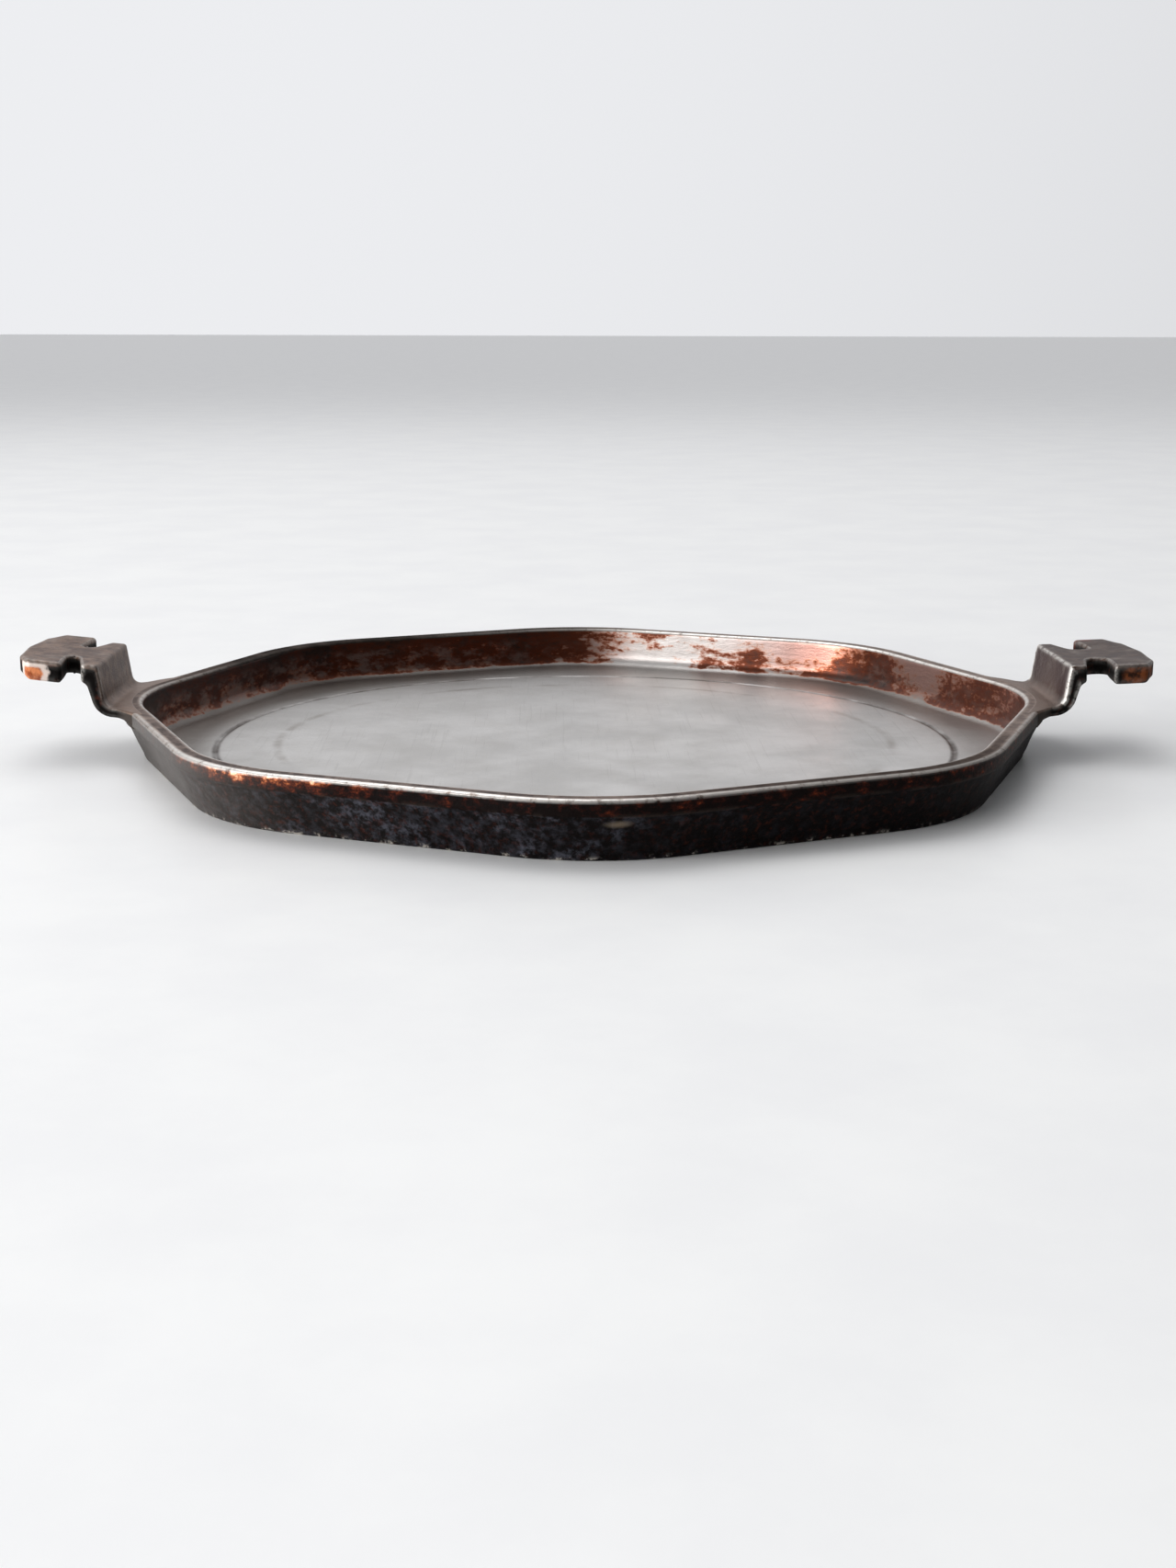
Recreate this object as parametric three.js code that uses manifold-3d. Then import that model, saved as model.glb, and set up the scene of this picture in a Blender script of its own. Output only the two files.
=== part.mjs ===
// A cast aluminium griddle tray: an octagonal pan with a low tapering wall and a flat rim, and a raised,
// notched handle on two opposite corners. Millimetres, +Z up, origin under the middle of the pan, with the
// handles on the X axis. The pan and the handles are separate closed solids that meet at the handle roots.

import * as THREE from 'three';
import { mergeVertices } from 'three/addons/utils/BufferGeometryUtils.js';
import Module from 'manifold-3d';

// ---- Driving dimensions of the pan -------------------------------------------------------------------
const RIM_CORNER = 165;        // centre to the sharp corner of the rim's outer edge
const CORNER_RADIUS = 70;      // rounding of the eight corners, seen from above
const RIM_HEIGHT = 18.9;
const RIM_LAND = 6.2;          // width of the flat top of the rim
const RIM_EDGE = 1.0;          // worn rounding of the rim's two top edges
const BAND_HEIGHT = 4.9;       // the slightly proud band under the rim's outer edge
const BAND_STEP = 0.7;         // how far the band stands proud of the wall below it
const BASE_INSET = 6.4;        // how far the wall has come in where it meets the base
const BASE_EDGE = 1.0;
const INNER_DRAFT = 1.2;       // how far the inner wall comes in between rim and cove
const COVE_RADIUS = 5;
const FLOOR_TOP = 2.8;         // floor thickness inside the groove
const FLOOR_RISE = 0.7;        // how much higher the floor is at the foot of the cove
const GROOVE_RADIUS = 127.8;   // middle of the groove round the cooking disc
const GROOVE_WIDTH = 2.6;
const GROOVE_DEPTH = 0.45;

// ---- Driving dimensions of a handle ------------------------------------------------------------------
const FOOT_BOTTOM = 15.6;
const FOOT_FLARE = 36;         // half width of the foot where it grows out of the pan
const FOOT_WAIST_X = 157;      // where the flare ends
const HEAD_HALF = 24.2;        // half width of the riser and of the plate above it
const RISER_FOOT_X = 162.5;    // inner face of the riser at its foot
const RISER_TOP_X = 164;       // inner face of the riser at its top
const RISER_THICK = 3.2;
const RISER_OUTER_RADIUS = 7;
const RISER_INNER_RADIUS = 3.2;
const HEAD_END_X = 169.2;
const NECK_HALF = 9.8;
const NECK_START_X = 173;
const END_HALF = 27.6;         // half width of the grip at the handle's end
const GRIP_HOOK = 1.8;         // how far the grip's tips reach back towards the pan
const END_CHAMFER_START = 9.4;
const END_CHAMFER_END = 14;
const END_CHAMFER_HALF = 18.5;
const END_LENGTH = 15.6;
const PLATE_THICK = 5.7;
const EDGE_RADIUS = 0.9;

// The two castings are not quite alike: one plate tilts up more and reaches a little less far.
const HANDLES = [
  { name: 'handle_right', side: 1, plateTop: 32.6, tiltDeg: 2.2, endX: 179.7, colour: 0x5c5652 },
  { name: 'handle_left', side: -1, plateTop: 33.0, tiltDeg: 6.0, endX: 177.0, colour: 0x5a5450 },
];

// Meshes hold 32-bit numbers, so touching pieces keep this much air between them.
const JOINT_GAP = 0.3;

// ---- Outline of the pan ------------------------------------------------------------------------------
const SIDES = 8;
const ARC_STEPS = 6;
const FLAT_STEPS = 2;
const HALF_TURN = Math.PI / SIDES;
const CORNER_CENTRE = RIM_CORNER - CORNER_RADIUS / Math.cos(HALF_TURN);

// One point of the rounded octagon with its outward normal, for a turn of the normal within one corner.
function cornerPoint(corner, turn) {
  const corner_angle = corner * 2 * HALF_TURN;
  const normal_angle = corner_angle + turn;
  const normal = new THREE.Vector2(Math.cos(normal_angle), Math.sin(normal_angle));
  const centre = new THREE.Vector2(Math.cos(corner_angle), Math.sin(corner_angle)).multiplyScalar(CORNER_CENTRE);
  return { point: centre.addScaledVector(normal, CORNER_RADIUS), normal };
}

// The whole outline: an arc round each corner, then a straight side to the next one.
function rimOutline() {
  const outline = [];
  for (let corner = 0; corner < SIDES; corner++) {
    for (let step = 0; step <= ARC_STEPS; step++) {
      outline.push(cornerPoint(corner, HALF_TURN * (2 * step / ARC_STEPS - 1)));
    }
    const from = cornerPoint(corner, HALF_TURN);
    const to = cornerPoint(corner + 1, -HALF_TURN);
    for (let step = 1; step < FLAT_STEPS; step++) {
      outline.push({ point: from.point.clone().lerp(to.point, step / FLAT_STEPS), normal: from.normal });
    }
  }
  return outline;
}

// ---- The pan -----------------------------------------------------------------------------------------
// A ring of the pan is either the outline moved in by a distance, or a circle, at one height.
const inset = (distance, z) => ({ distance, z });
const circle = (radius, z) => ({ radius, z });

function ringPoints(ring, outline) {
  return outline.map(({ point, normal }) => {
    const place = ring.radius === undefined
      ? point.clone().addScaledVector(normal, -ring.distance)
      : point.clone().setLength(ring.radius);
    return new THREE.Vector3(place.x, place.y, ring.z);
  });
}

// Rings along a quarter turn between two directions, for the rounded edges and the cove.
function quarter(centreDistance, centreZ, radius, fromDeg, toDeg, steps) {
  const rings = [];
  for (let step = 0; step <= steps; step++) {
    const angle = THREE.MathUtils.degToRad(fromDeg + (toDeg - fromDeg) * step / steps);
    rings.push(inset(centreDistance - radius * Math.cos(angle), centreZ + radius * Math.sin(angle)));
  }
  return rings;
}

function panGeometry() {
  const bandBottom = RIM_HEIGHT - BAND_HEIGHT;
  const coveFoot = RIM_LAND + INNER_DRAFT + COVE_RADIUS;
  const coveCentreZ = FLOOR_TOP + FLOOR_RISE + COVE_RADIUS;
  const rings = [
    ...quarter(BASE_INSET + BASE_EDGE, BASE_EDGE, BASE_EDGE, -90, -20, 3),
    inset(BAND_STEP, bandBottom - BAND_STEP / 2),
    inset(0, bandBottom),
    ...quarter(RIM_EDGE, RIM_HEIGHT - RIM_EDGE, RIM_EDGE, 0, 90, 3),
    ...quarter(RIM_LAND - RIM_EDGE, RIM_HEIGHT - RIM_EDGE, RIM_EDGE, 90, 180, 3),
    ...quarter(coveFoot, coveCentreZ, COVE_RADIUS, 0, -90, 5),
    circle(GROOVE_RADIUS + GROOVE_WIDTH / 2, FLOOR_TOP),
    circle(GROOVE_RADIUS + GROOVE_WIDTH / 4, FLOOR_TOP - GROOVE_DEPTH),
    circle(GROOVE_RADIUS - GROOVE_WIDTH / 4, FLOOR_TOP - GROOVE_DEPTH),
    circle(GROOVE_RADIUS - GROOVE_WIDTH / 2, FLOOR_TOP),
  ];
  return closedLoft(rings.map((ring) => ringPoints(ring, rimOutline())), 0, FLOOR_TOP);
}

// Joins rings of equal length into one closed surface, from a bottom middle point to a top one.
function closedLoft(rings, bottomZ, topZ) {
  const count = rings[0].length;
  const points = [new THREE.Vector3(0, 0, bottomZ), ...rings.flat(), new THREE.Vector3(0, 0, topZ)];
  const first = (ring) => 1 + ring * count;
  const faces = [];
  for (let i = 0; i < count; i++) {
    const next = (i + 1) % count;
    faces.push(0, first(0) + next, first(0) + i);
    for (let ring = 0; ring + 1 < rings.length; ring++) {
      const low = first(ring);
      const high = first(ring + 1);
      faces.push(low + i, low + next, high + next);
      faces.push(low + i, high + next, high + i);
    }
    const last = first(rings.length - 1);
    faces.push(last + i, last + next, points.length - 1);
  }
  const geometry = new THREE.BufferGeometry().setFromPoints(points);
  geometry.setIndex(faces);
  geometry.computeVertexNormals();
  return geometry;
}

// ---- Handles -----------------------------------------------------------------------------------------
// A closed Shape through the corners, each one rounded by an arc of its own radius (0 keeps it sharp).
function roundedShape(corners) {
  const shape = new THREE.Shape();
  corners.forEach(({ x, y, radius }, index) => {
    const here = new THREE.Vector2(x, y);
    const before = corners[(index + corners.length - 1) % corners.length];
    const after = corners[(index + 1) % corners.length];
    const back = new THREE.Vector2(before.x, before.y).sub(here).normalize();
    const ahead = new THREE.Vector2(after.x, after.y).sub(here).normalize();
    const half = Math.acos(THREE.MathUtils.clamp(back.dot(ahead), -1, 1)) / 2;
    if (!radius) {
      shape.lineTo(x, y);
      return;
    }
    const tangent = radius / Math.tan(half);
    const centre = here.clone().addScaledVector(back.clone().add(ahead).normalize(), radius / Math.sin(half));
    const start = here.clone().addScaledVector(back, tangent).sub(centre);
    const end = here.clone().addScaledVector(ahead, tangent).sub(centre);
    const clockwise = back.cross(ahead) > 0;
    shape.absarc(centre.x, centre.y, radius, start.angle(), end.angle(), clockwise);
  });
  return shape;
}

const corner = (x, y, radius = 0) => ({ x, y, radius });

// The handle from above: a flared foot, the head, the neck and the grip with its chamfered corners.
function planShape(handle) {
  const half = [
    corner(150, FOOT_FLARE + 2),
    corner(FOOT_WAIST_X, HEAD_HALF + 2.4, 8),
    corner(RISER_TOP_X, HEAD_HALF, 6),
    corner(HEAD_END_X, HEAD_HALF, 1.5),
    corner(NECK_START_X, NECK_HALF, 3.5),
    corner(handle.endX, NECK_HALF, 1.5),
    corner(handle.endX - GRIP_HOOK, END_HALF, EDGE_RADIUS),
    corner(handle.endX + END_CHAMFER_START, END_HALF, 2),
    corner(handle.endX + END_CHAMFER_END, END_CHAMFER_HALF, 7),
  ];
  const tip = corner(handle.endX + END_LENGTH, 0, 20);
  const mirrored = half.map(({ x, y, radius }) => corner(x, -y, radius));
  return roundedShape([corner(120, 0), ...mirrored, tip, ...half.reverse()]);
}

// The handle from the side: foot, riser and tilted plate, one continuous bent strip.
function sideShape(handle) {
  const slope = Math.tan(THREE.MathUtils.degToRad(handle.tiltDeg));
  const top = (x) => handle.plateTop + (x - RISER_TOP_X) * slope;
  const outside = handle.endX + END_LENGTH + 5;
  return roundedShape([
    corner(120, FOOT_BOTTOM),
    corner(RISER_FOOT_X + RISER_THICK - 0.8, FOOT_BOTTOM, RISER_OUTER_RADIUS),
    corner(RISER_TOP_X + RISER_THICK + 0.8, top(RISER_TOP_X) - PLATE_THICK, 3),
    corner(outside, top(outside) - PLATE_THICK),
    corner(outside, top(outside)),
    corner(RISER_TOP_X, top(RISER_TOP_X), EDGE_RADIUS),
    corner(RISER_FOOT_X - 0.6, RIM_HEIGHT, RISER_INNER_RADIUS),
    corner(120, RIM_HEIGHT),
  ]);
}

// ---- Booleans ----------------------------------------------------------------------------------------
const wasm = await Module();
wasm.setup();

function toSolid(geometry) {
  const bare = geometry.clone();
  bare.deleteAttribute('normal');
  bare.deleteAttribute('uv');
  const merged = mergeVertices(bare);
  return new wasm.Manifold(new wasm.Mesh({
    numProp: 3,
    vertProperties: new Float32Array(merged.attributes.position.array),
    triVerts: new Uint32Array(merged.index.array),
  }));
}

function toGeometry(solid) {
  const mesh = solid.getMesh();
  const geometry = new THREE.BufferGeometry();
  geometry.setAttribute('position', new THREE.BufferAttribute(new Float32Array(mesh.vertProperties), 3));
  geometry.setIndex([...mesh.triVerts]);
  geometry.computeVertexNormals();
  return geometry;
}

const CURVE_STEPS = 5;

// What both the plan and the side view allow, less the pan's corner and the gap round it.
function handleGeometry(handle) {
  const plan = new THREE.ExtrudeGeometry(planShape(handle),
    { depth: 60, bevelEnabled: false, curveSegments: CURVE_STEPS });
  const side = new THREE.ExtrudeGeometry(sideShape(handle),
    { depth: 100, bevelEnabled: false, curveSegments: CURVE_STEPS });
  side.rotateX(Math.PI / 2);
  side.translate(0, 50, 0);
  const keepOut = closedLoft(
    [inset(-JOINT_GAP, 0), inset(-JOINT_GAP, 60)].map((ring) => ringPoints(ring, rimOutline())), 0, 60);
  const solid = toSolid(plan).intersect(toSolid(side)).subtract(toSolid(keepOut));
  const geometry = toGeometry(solid);
  if (handle.side < 0) geometry.rotateZ(Math.PI);
  return geometry;
}

// ---- The object --------------------------------------------------------------------------------------
const griddle = new THREE.Group();

const pan = new THREE.Mesh(panGeometry(),
  new THREE.MeshStandardMaterial({ color: 0x6e625a, roughness: 0.5, metalness: 0.9 }));
pan.name = 'pan';
griddle.add(pan);

for (const handle of HANDLES) {
  const mesh = new THREE.Mesh(handleGeometry(handle),
    new THREE.MeshStandardMaterial({ color: handle.colour, roughness: 0.45, metalness: 0.9 }));
  mesh.name = handle.name;
  griddle.add(mesh);
}

export default griddle;
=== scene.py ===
# %% [markdown]
# # A cast aluminium griddle tray
#
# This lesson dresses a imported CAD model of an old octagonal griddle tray: one casting with a low wall, a
# flat rim, a round cooking disc inside a groove, and a raised, notched handle on two opposite corners.
# The CAD model is the frame: it gives the sizes and places. The surfaces made here carry what the CAD
# leaves out, which is rounded worn edges, hammered dimples, flowing handle roots and the baked-on varnish
# of years on a stove.

# %% The frame
import math
from functools import partial

import bmesh
import bpy
import numpy as np
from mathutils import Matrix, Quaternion, Vector


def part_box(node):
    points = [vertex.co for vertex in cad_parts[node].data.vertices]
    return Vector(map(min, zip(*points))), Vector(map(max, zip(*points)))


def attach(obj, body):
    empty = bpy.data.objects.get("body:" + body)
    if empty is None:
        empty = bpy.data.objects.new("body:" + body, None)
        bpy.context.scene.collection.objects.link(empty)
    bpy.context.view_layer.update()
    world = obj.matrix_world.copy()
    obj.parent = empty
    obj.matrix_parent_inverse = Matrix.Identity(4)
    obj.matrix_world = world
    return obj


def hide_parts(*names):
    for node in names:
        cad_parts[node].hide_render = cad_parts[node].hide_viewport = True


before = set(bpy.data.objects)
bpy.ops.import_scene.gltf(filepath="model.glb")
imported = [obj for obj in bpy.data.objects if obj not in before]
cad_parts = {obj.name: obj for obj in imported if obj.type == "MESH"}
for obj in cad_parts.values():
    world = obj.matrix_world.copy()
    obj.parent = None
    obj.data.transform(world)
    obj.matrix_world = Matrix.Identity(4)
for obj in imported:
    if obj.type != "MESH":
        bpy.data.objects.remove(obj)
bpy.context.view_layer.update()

# %% [markdown]
# ## Sizes
#
# Everything below is worked out in millimetres and turned to metres when a mesh is written. The outer
# sizes come from the frame, so the lesson follows the CAD model. The rest is what the casting's pattern
# maker would know: rim width, cove radius, groove, and the widths along a handle.

# %% Sizes of the pan
MM = 0.001
pan_low, pan_high = (np.array(corner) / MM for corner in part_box("pan"))
CORNER_RADIUS = 70.0
HALF_EIGHTH = math.pi / 8  # half of the 45 degrees between two corners
CORNER_CENTRE = pan_high[0] - CORNER_RADIUS
RIM_TOP = pan_high[2]
RIM_LAND = 6.2
BAND_HEIGHT = 4.9
BAND_STEP = 0.7
BASE_INSET = 6.4
COVE_RADIUS = 5.0
FLOOR_TOP = 2.8
COVE_FOOT_Z = 3.5
COVE_FOOT_INSET = 12.6
GROOVE_RADIUS = 127.8
GROOVE_DEPTH = 0.35
print(f"rim {2 * pan_high[0]:.1f} mm over the corners, {RIM_TOP:.1f} mm high")

# %% [markdown]
# ## Two small geometry helpers
#
# Cast things have no sharp corners, so every outline here is a list of corners with a radius on each. One
# helper turns such a list into an even run of points, with a true arc at each corner. The other writes a
# grid of points into a mesh.

# %% Rounded outlines
ARC_POINTS = 13


def rounded(corners, spacing):
    """An open polyline through the corners (x, y, radius), each corner cut by a circle of its radius that
    touches both sides, then walked at equal steps of arc length. Also gives the arc length at each
    corner's first and last point, as marks to match one outline with another."""
    corners = np.array(corners, float)
    pieces = [corners[:1, :2]]
    for before, corner, after in zip(corners[:-2, :2], corners[1:-1], corners[2:, :2]):
        here, radius = corner[:2], corner[2]
        back = (before - here) / np.linalg.norm(before - here)
        ahead = (after - here) / np.linalg.norm(after - here)
        half = 0.5 * math.acos(np.clip(back @ ahead, -1, 1))
        centre = here + (back + ahead) / np.linalg.norm(back + ahead) * radius / math.sin(half)
        start = here + back * radius / math.tan(half) - centre
        sweep = (math.pi - 2 * half) * np.sign(back[1] * ahead[0] - back[0] * ahead[1])
        turn = math.atan2(start[1], start[0]) + sweep * np.linspace(0, 1, ARC_POINTS)
        pieces.append(centre + radius * np.stack([np.cos(turn), np.sin(turn)], 1))
    pieces.append(corners[-1:, :2])
    line = np.concatenate(pieces)
    length = np.concatenate([[0], np.cumsum(np.linalg.norm(np.diff(line, axis=0), axis=1))])
    # The line starts with one point of its own, and every arc after it adds ARC_POINTS.
    marks = [(length[1 + ARC_POINTS * i], length[ARC_POINTS * (i + 1)]) for i in range(len(corners) - 2)]
    steps = np.linspace(0, length[-1], 2 * int(length[-1] / spacing / 2) + 1)
    points = np.stack([np.interp(steps, length, line[:, 0]), np.interp(steps, length, line[:, 1])], 1)
    return points, steps, marks


# %% Writing a mesh
def write_mesh(name, points, faces, attributes):
    """A mesh object from points in millimetres and index faces, smooth shaded, with one float per vertex
    for each named attribute."""
    mesh = bpy.data.meshes.new(name)
    mesh.from_pydata((points * MM).tolist(), [], faces)
    mesh.polygons.foreach_set("use_smooth", [True] * len(mesh.polygons))
    for key, values in attributes.items():
        mesh.attributes.new(key, "FLOAT", "POINT").data.foreach_set("value", np.asarray(values, np.float32))
    mesh.validate()
    made = bpy.data.objects.new(name, mesh)
    bpy.context.scene.collection.objects.link(made)
    return made


def grid_faces(rings, count):
    """Four-sided faces between rings of count points each, closed round every ring."""
    ring, step = np.meshgrid(np.arange(rings - 1), np.arange(count), indexing="ij")
    here = ring * count + step
    side = ring * count + (step + 1) % count
    return np.stack([here, side, side + count, here + count], -1).reshape(-1, 4).tolist()


# %% [markdown]
# ## The pan's outline
#
# Seen from above the pan is a regular octagon whose corners are rounded by a large radius. One formula
# gives any point of it: each eighth is an arc about the corner's centre, and then a straight side.
# Keeping the outward normal with each point lets every other ring be the same outline moved in, so walls
# stay parallel.

# %% Outline of the pan
AROUND = 688
ARC_LENGTH = CORNER_RADIUS * 2 * HALF_EIGHTH
SIDE_LENGTH = 2 * CORNER_CENTRE * math.sin(HALF_EIGHTH)


def pan_outline(count):
    """Points and outward normals round the rim's outer edge. Within an eighth the normal turns by 45
    degrees along the arc, then the point runs straight along the side while the normal stays."""
    walk = np.arange(count) * 8 / count
    eighth = np.floor(walk)
    along = (walk - eighth) * (ARC_LENGTH + SIDE_LENGTH)
    turn = 2 * HALF_EIGHTH * np.minimum(along / ARC_LENGTH, 1) - HALF_EIGHTH
    facing = eighth * 2 * HALF_EIGHTH + turn
    normal = np.stack([np.cos(facing), np.sin(facing)], 1)
    tangent = np.stack([-np.sin(facing), np.cos(facing)], 1)
    middle = eighth * 2 * HALF_EIGHTH
    centre = CORNER_CENTRE * np.stack([np.cos(middle), np.sin(middle)], 1)
    straight = np.maximum(along - ARC_LENGTH, 0)[:, None]
    return centre + CORNER_RADIUS * normal + straight * tangent, normal


outline, outline_normal = pan_outline(AROUND)
print(f"outline: {AROUND} points, {8 * (ARC_LENGTH + SIDE_LENGTH):.0f} mm round")

# %% [markdown]
# ## The pan's section
#
# A cut through the wall shows base edge, tapering wall, the proud band under the rim, a slightly dished
# rim land, the inner wall and the cove. Those follow the octagon. Inside the cove the floor changes to
# circles, with a shallow groove round the cooking disc. So the section is a list of stations, each with
# an inset, a height, a circle radius and how far the ring has turned from octagon to circle.

# %% Stations of the section
band_bottom = RIM_TOP - BAND_HEIGHT
wall, _, _ = rounded([
    (BASE_INSET + 9, 0.0, 0),
    (BASE_INSET, 0.0, 1.0),
    (BAND_STEP, band_bottom - 0.5, 0.5),
    (0.0, band_bottom + 0.1, 0.35),
    (0.0, RIM_TOP, 1.15),
    (3.2, RIM_TOP - 0.18, 12.0),
    (RIM_LAND + 0.1, RIM_TOP, 1.35),
    (RIM_LAND + 1.3, COVE_FOOT_Z, COVE_RADIUS),
    (COVE_FOOT_INSET, COVE_FOOT_Z, 0),
], 0.62)

# From the cove's foot the rings turn into circles while the floor sinks gently to the disc.
TURNING_RINGS = 6
turning = np.linspace(0, 1, TURNING_RINGS + 1)[1:]
groove_radii = GROOVE_RADIUS + np.linspace(2.4, -2.4, 17)
disc_radii = np.linspace(GROOVE_RADIUS - 6, 3, 26)
circle_radii = np.concatenate([groove_radii, disc_radii])
groove_z = FLOOR_TOP - GROOVE_DEPTH * np.exp(-((circle_radii - GROOVE_RADIUS) / 0.85) ** 2)
under_radii = np.linspace(3, 130, 8)

stations = np.concatenate([
    np.stack([0 * under_radii, 0 * under_radii, under_radii, 1 + 0 * under_radii], 1),
    np.stack([wall[:, 0], wall[:, 1], 0 * wall[:, 0], 0 * wall[:, 0]], 1),
    np.stack([np.full(TURNING_RINGS, COVE_FOOT_INSET),
              COVE_FOOT_Z + (FLOOR_TOP - COVE_FOOT_Z) * turning ** 0.7,
              np.full(TURNING_RINGS, groove_radii[0] + 0.6), turning * 0.999], 1),
    np.stack([0 * circle_radii, groove_z, circle_radii, 1 + 0 * circle_radii], 1),
])
print(f"section: {len(stations)} stations, {len(wall)} of them on the wall")

# %% [markdown]
# ## Hammer marks and casting waves
#
# The outer wall was peened: each blow leaves a shallow bowl, and neighbouring bowls meet in soft ridges.
# That is the squared distance to the nearest of many jittered points, so it is computed that way on the
# wall's own coordinates. Everywhere else a sand casting is only nearly flat, which a few slow sine waves
# give.

# %% Relief formulas
BLOWS_ROUND = 190
BLOW_DEPTH = 0.16


def smooth(value, low, high):
    """0 below low, 1 above high, an S curve between."""
    part = np.clip((value - low) / (high - low), 0, 1)
    return part * part * (3 - 2 * part)


def hammered(u, v, blows_round):
    """0 in the middle of a blow, rising with the squared distance to the nearest blow, about 1 on the
    ridges. The blows sit on a square lattice, each moved by a fixed pseudo-random amount that repeats
    after one turn. u and v are counted in blows."""
    cell_u, cell_v = np.floor(u), np.floor(v)
    nearest = np.full(np.shape(u), 9.0)
    for shift_u in (-1, 0, 1):
        for shift_v in (-1, 0, 1):
            at_u, at_v = cell_u + shift_u, cell_v + shift_v
            wrapped = at_u % blows_round
            seed = np.sin(wrapped * 127.1 + at_v * 311.7) * 43758.55
            other = np.sin(wrapped * 269.5 + at_v * 183.3) * 24634.63
            jitter_u, jitter_v = seed - np.floor(seed), other - np.floor(other)
            far = (u - at_u - jitter_u) ** 2 + (v - at_v - jitter_v) ** 2
            nearest = np.minimum(nearest, far)
    return np.minimum(nearest / 0.5, 1.3)


def casting_waves(points, wavelength):
    """Slow unevenness from -1 to 1: the mean of six sine waves in fixed, unrelated directions."""
    directions = np.array([
        [1, .3, .5], [-.4, 1, .2], [.7, -.6, .9], [.2, .9, -.8], [-.9, .5, .3], [.5, .8, 1]])
    phases = points @ (directions * 2 * math.pi / wavelength).T + np.arange(6) * 1.7
    return np.sin(phases).mean(-1)


# %% The pan's surface
def pan_points():
    """Every ring at once: the outline moved in by the station's inset, mixed with a circle, then moved
    along the wall's normal by the hammer marks and the casting waves."""
    inset, height, radius, circular = (stations[:, i, None, None] for i in range(4))
    octagon = outline - outline_normal * inset
    circle = outline / np.linalg.norm(outline, axis=1, keepdims=True) * radius
    flat = octagon * (1 - circular) + circle * circular
    points = np.concatenate([flat, np.broadcast_to(height, flat.shape[:2] + (1,))], -1)
    around = np.arange(AROUND) / AROUND * BLOWS_ROUND
    blow_size = 8 * (ARC_LENGTH + SIDE_LENGTH) / BLOWS_ROUND
    outside = smooth(stations[:, 1], 0.8, 2.0) * (1 - smooth(stations[:, 1], 13.0, 13.6))
    outside = outside * (np.arange(len(stations)) < len(under_radii) + np.argmax(wall[:, 1] > band_bottom))
    marks = hammered(around[None], stations[:, 1, None] / blow_size, BLOWS_ROUND)
    relief = (marks - 1) * BLOW_DEPTH * outside[:, None]
    on_wall = (stations[:, 3] == 0) & (stations[:, 1] > 1)
    waves = casting_waves(points.reshape(-1, 3), 31.0).reshape(points.shape[:2]) - 1
    relief = relief + 0.06 * waves * on_wall[:, None]
    points[..., :2] += outline_normal[None] * relief[..., None]
    return points


# %% [markdown]
# ## Making the pan
#
# The rings run from the middle of the underside, out and up the wall, over the rim and back to the middle
# of the floor, so one closed skin comes out with a fan of triangles at each pole. Four attributes go with
# it for the finishes: how far in from the rim a point is, how worn the rim's edges are there, which also
# sets where a highlight is painted on them, and how near it is to the foot's edge and to the band's lower
# step.

# %% The pan
pan_surface = pan_points()
ring_count = len(stations)
poles = np.array([[0, 0, 0], [0, 0, FLOOR_TOP]])
points = np.concatenate([pan_surface.reshape(-1, 3), poles])
last = (ring_count - 1) * AROUND
steps = np.arange(AROUND)
under_pole, floor_pole = len(points) - 2, len(points) - 1
fans = np.stack([np.full(AROUND, under_pole), (steps + 1) % AROUND, steps], 1).tolist()
fans += np.stack([np.full(AROUND, floor_pole), last + steps, last + (steps + 1) % AROUND], 1).tolist()

wall_rows = np.arange(ring_count) - len(under_radii)
on_wall = (wall_rows >= 0) & (wall_rows < len(wall))
station_inset = np.where(on_wall, stations[:, 0], 40.0)
near_top = smooth(stations[:, 1], RIM_TOP - 1.1, RIM_TOP - 0.4) * on_wall
# The rim's edges: where they are worn to bare metal, and where a highlight is painted on them.
outer_wear_and_highlight = near_top * (1 - smooth(stations[:, 0], 0.9, 2.0))
inner_wear_and_highlight = near_top * smooth(stations[:, 0], RIM_LAND - 1.5, RIM_LAND - 0.6)
foot_edge = on_wall * np.exp(-(np.hypot(stations[:, 0] - BASE_INSET, stations[:, 1]) / 0.9) ** 2)
step_edge = on_wall * np.exp(-(np.hypot(stations[:, 0], stations[:, 1] - band_bottom) / 0.28) ** 2)
free_of_handle = smooth(np.abs(outline[:, 1]), 27, 36) + (np.abs(outline[:, 0]) < 140)
wear_and_highlight = outer_wear_and_highlight[:, None] * np.minimum(free_of_handle, 1)[None] + inner_wear_and_highlight[:, None]
ones = np.ones((1, AROUND))
pan_attributes = {
    "inset": np.concatenate([(station_inset[:, None] * ones).ravel(), [40.0, 40.0]]),
    "wear_and_highlight": np.concatenate([wear_and_highlight.ravel(), [0, 0]]),
    "foot_edge": np.concatenate([(foot_edge[:, None] * ones).ravel(), [0, 0]]),
    "step_edge": np.concatenate([(step_edge[:, None] * ones).ravel(), [0, 0]]),
}
pan = write_mesh("griddle_pan", points, grid_faces(ring_count, AROUND) + fans, pan_attributes)
print(f"pan: {len(points)} points")

# %% [markdown]
# ## The handles
#
# A handle is one bent strip: the foot leaves the rim, a riser lifts it, and a plate runs out with a neck
# between two notches and a wide grip. It is easiest to think of it rolled out flat. Its flat outline is a
# list of rounded corners, the bend is a pair of side curves for top and underside, and the surface is a
# function of two parameters: round the outline, and from the middle of the top over the edge to the
# middle of the underside.

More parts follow.
